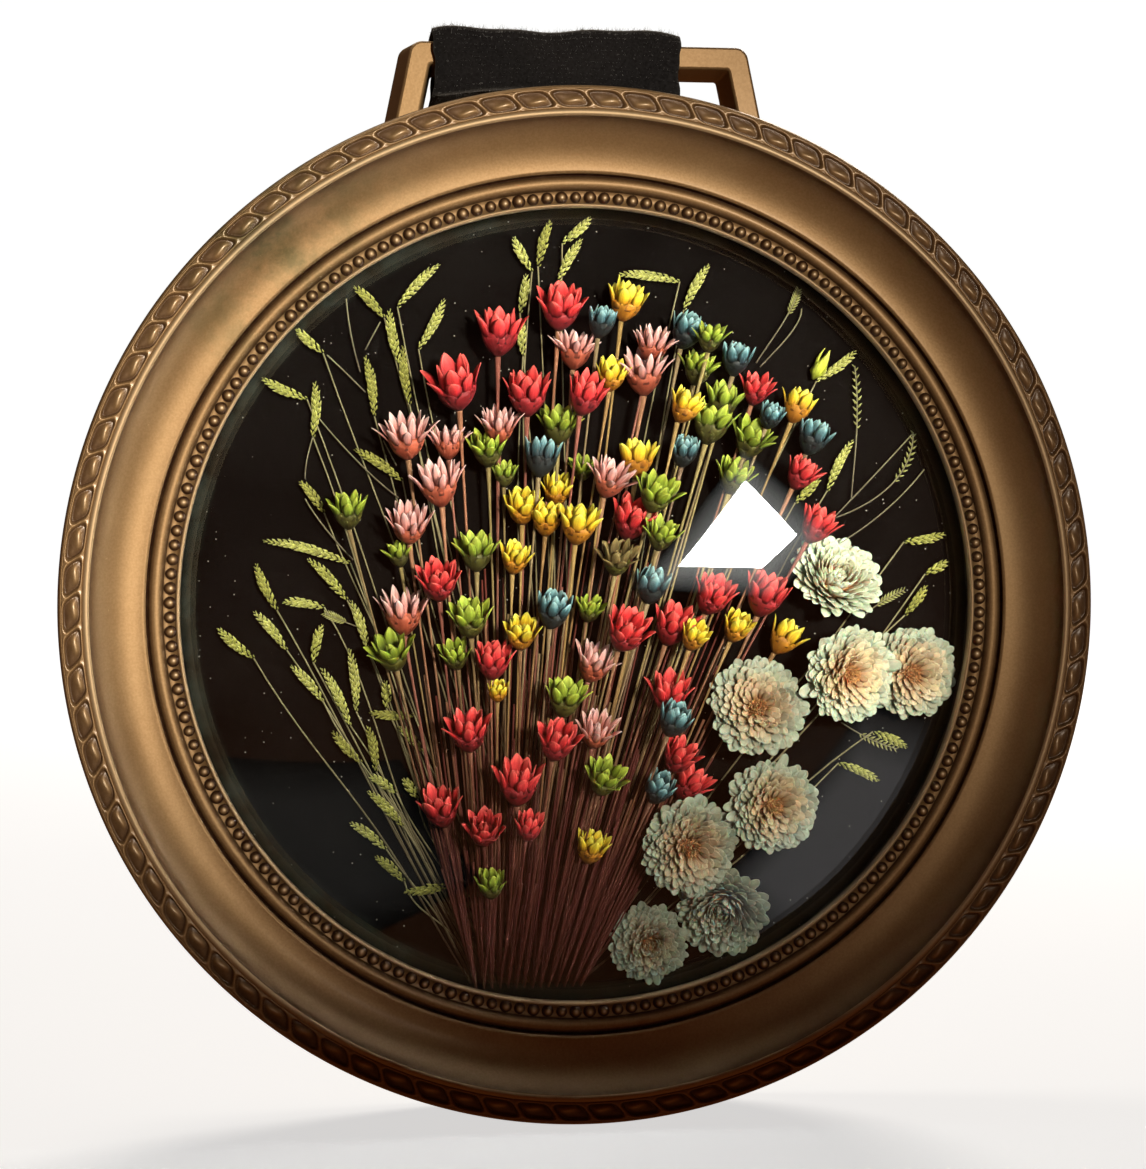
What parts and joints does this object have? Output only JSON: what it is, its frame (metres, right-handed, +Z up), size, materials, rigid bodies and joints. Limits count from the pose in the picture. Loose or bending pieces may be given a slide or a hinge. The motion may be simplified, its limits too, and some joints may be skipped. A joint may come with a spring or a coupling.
{
  "type": "domed dried flower frame",
  "caption": "Round moulded frame with a rope band and pearl beading, a bulging glass over dried flowers on black velvet, and a top loop threaded with a velvet ribbon.",
  "frame": {"origin": "centre of the frame's flat back, on the axis of all its circles", "axes": "+X to the viewer's right, +Z up, +Y back into the wall; the glass bulges towards -Y"},
  "size_m": [0.2074, 0.038, 0.2201],
  "materials": {
    "bronze_gold_paint": "cast resin with satin bronze-gold paint, slightly tarnished",
    "ribbon_velvet": "black velvet with a dense short pile",
    "clear_glass": "clear, smooth, bulging",
    "black_card": "matt black card",
    "ground_velvet": "black velvet, worn and dusty near the edge",
    "hardboard": "bare hardboard",
    "tack_steel": "plain steel",
    "dried_starflower": "dried petals, dyed red, pink, yellow, green and blue, on straw stems",
    "dried_grass": "dried yellow-green ears on straw stems",
    "dried_strawflower": "papery white-green petals round a tan centre"
  },
  "bodies": {
    "frame_body": {"frame_moulding": "bronze_gold_paint", "hanger_loop": "bronze_gold_paint", "domed_glass": "clear_glass", "spacer_ring": "black_card", "velvet_ground": "ground_velvet", "backing_board": "hardboard", "backing_tack_1": "tack_steel", "backing_tack_2": "tack_steel", "backing_tack_3": "tack_steel", "backing_tack_4": "tack_steel", "backing_tack_5": "tack_steel", "backing_tack_6": "tack_steel", "starflower_bunch_1": "dried_starflower", "starflower_bunch_2": "dried_starflower", "starflower_bunch_3": "dried_starflower", "starflower_bunch_4": "dried_starflower", "starflower_bunch_5": "dried_starflower", "starflower_bunch_6": "dried_starflower", "starflower_bunch_7": "dried_starflower", "starflower_bunch_8": "dried_starflower", "starflower_bunch_9": "dried_starflower", "starflower_bunch_10": "dried_starflower", "starflower_bunch_11": "dried_starflower", "starflower_bunch_12": "dried_starflower", "starflower_bunch_13": "dried_starflower", "starflower_bunch_14": "dried_starflower", "grass_spray_low_left": "dried_grass", "grass_spray_left": "dried_grass", "grass_spray_upper_left": "dried_grass", "grass_spray_top": "dried_grass", "grass_spray_upper_right": "dried_grass", "grass_spray_right": "dried_grass", "grass_spray_low_right": "dried_grass", "strawflower_1": "dried_strawflower", "strawflower_2": "dried_strawflower", "strawflower_3": "dried_strawflower", "strawflower_4": "dried_strawflower", "strawflower_5": "dried_strawflower", "strawflower_6": "dried_strawflower", "strawflower_7": "dried_strawflower", "strawflower_8": "dried_strawflower"},
    "ribbon_body": {"velvet_ribbon": "ribbon_velvet"}
  },
  "joints": [
    {"name": "ribbon_slide", "type": "slide", "parent": "frame_body", "child": "ribbon_body", "axis": [1, 0, 0], "range_m": [0, 0.0095]}
  ]
}
